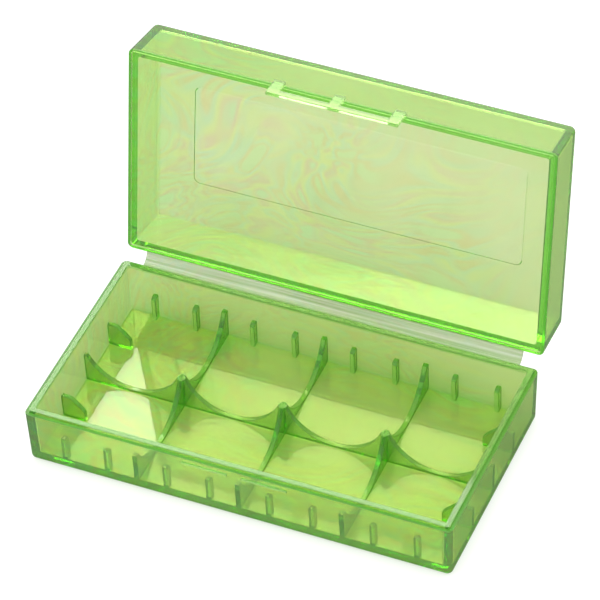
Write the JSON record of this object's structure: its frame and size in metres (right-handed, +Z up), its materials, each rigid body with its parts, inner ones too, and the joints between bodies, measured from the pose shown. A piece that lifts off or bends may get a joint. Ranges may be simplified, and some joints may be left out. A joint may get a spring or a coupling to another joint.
{
  "type": "battery storage case",
  "caption": "Clear green hinged case for cylindrical cells: a tray with scalloped cradles and a snap-shut lid on a thin flexible hinge web.",
  "frame": {"origin": "middle of the tray's underside", "axes": "+X along the case's length, -Y towards the catch side, +Y towards the hinge, +Z up; the lid is shown open"},
  "size_m": [0.076, 0.0583, 0.0529],
  "materials": {
    "green_clear_shell": "clear yellow-green moulded polypropylene, glossy, darker green where light runs along the walls",
    "green_clear_dividers": "the same clear green plastic seen edge on, so deeper in colour",
    "thin_clear_web": "the same plastic drawn thin and worked, so pale and slightly clouded with streaks along its length"
  },
  "bodies": {
    "tray": {"tray_shell": "green_clear_shell", "centre_divider": "green_clear_dividers", "cross_divider_left_front": "green_clear_dividers", "cross_divider_left_rear": "green_clear_dividers", "cross_divider_middle_front": "green_clear_dividers", "cross_divider_middle_rear": "green_clear_dividers", "cross_divider_right_front": "green_clear_dividers", "cross_divider_right_rear": "green_clear_dividers", "hinge_web": "thin_clear_web"},
    "lid": {"lid_shell": "green_clear_shell", "catch_frame": "green_clear_shell"}
  },
  "joints": [
    {"name": "lid_hinge", "type": "hinge", "parent": "tray", "child": "lid", "pos_m": [0, 0.0215, 0.0106], "axis": [-1, 0, 0], "range_deg": [-99, 81], "deforming": ["hinge_web"]}
  ]
}
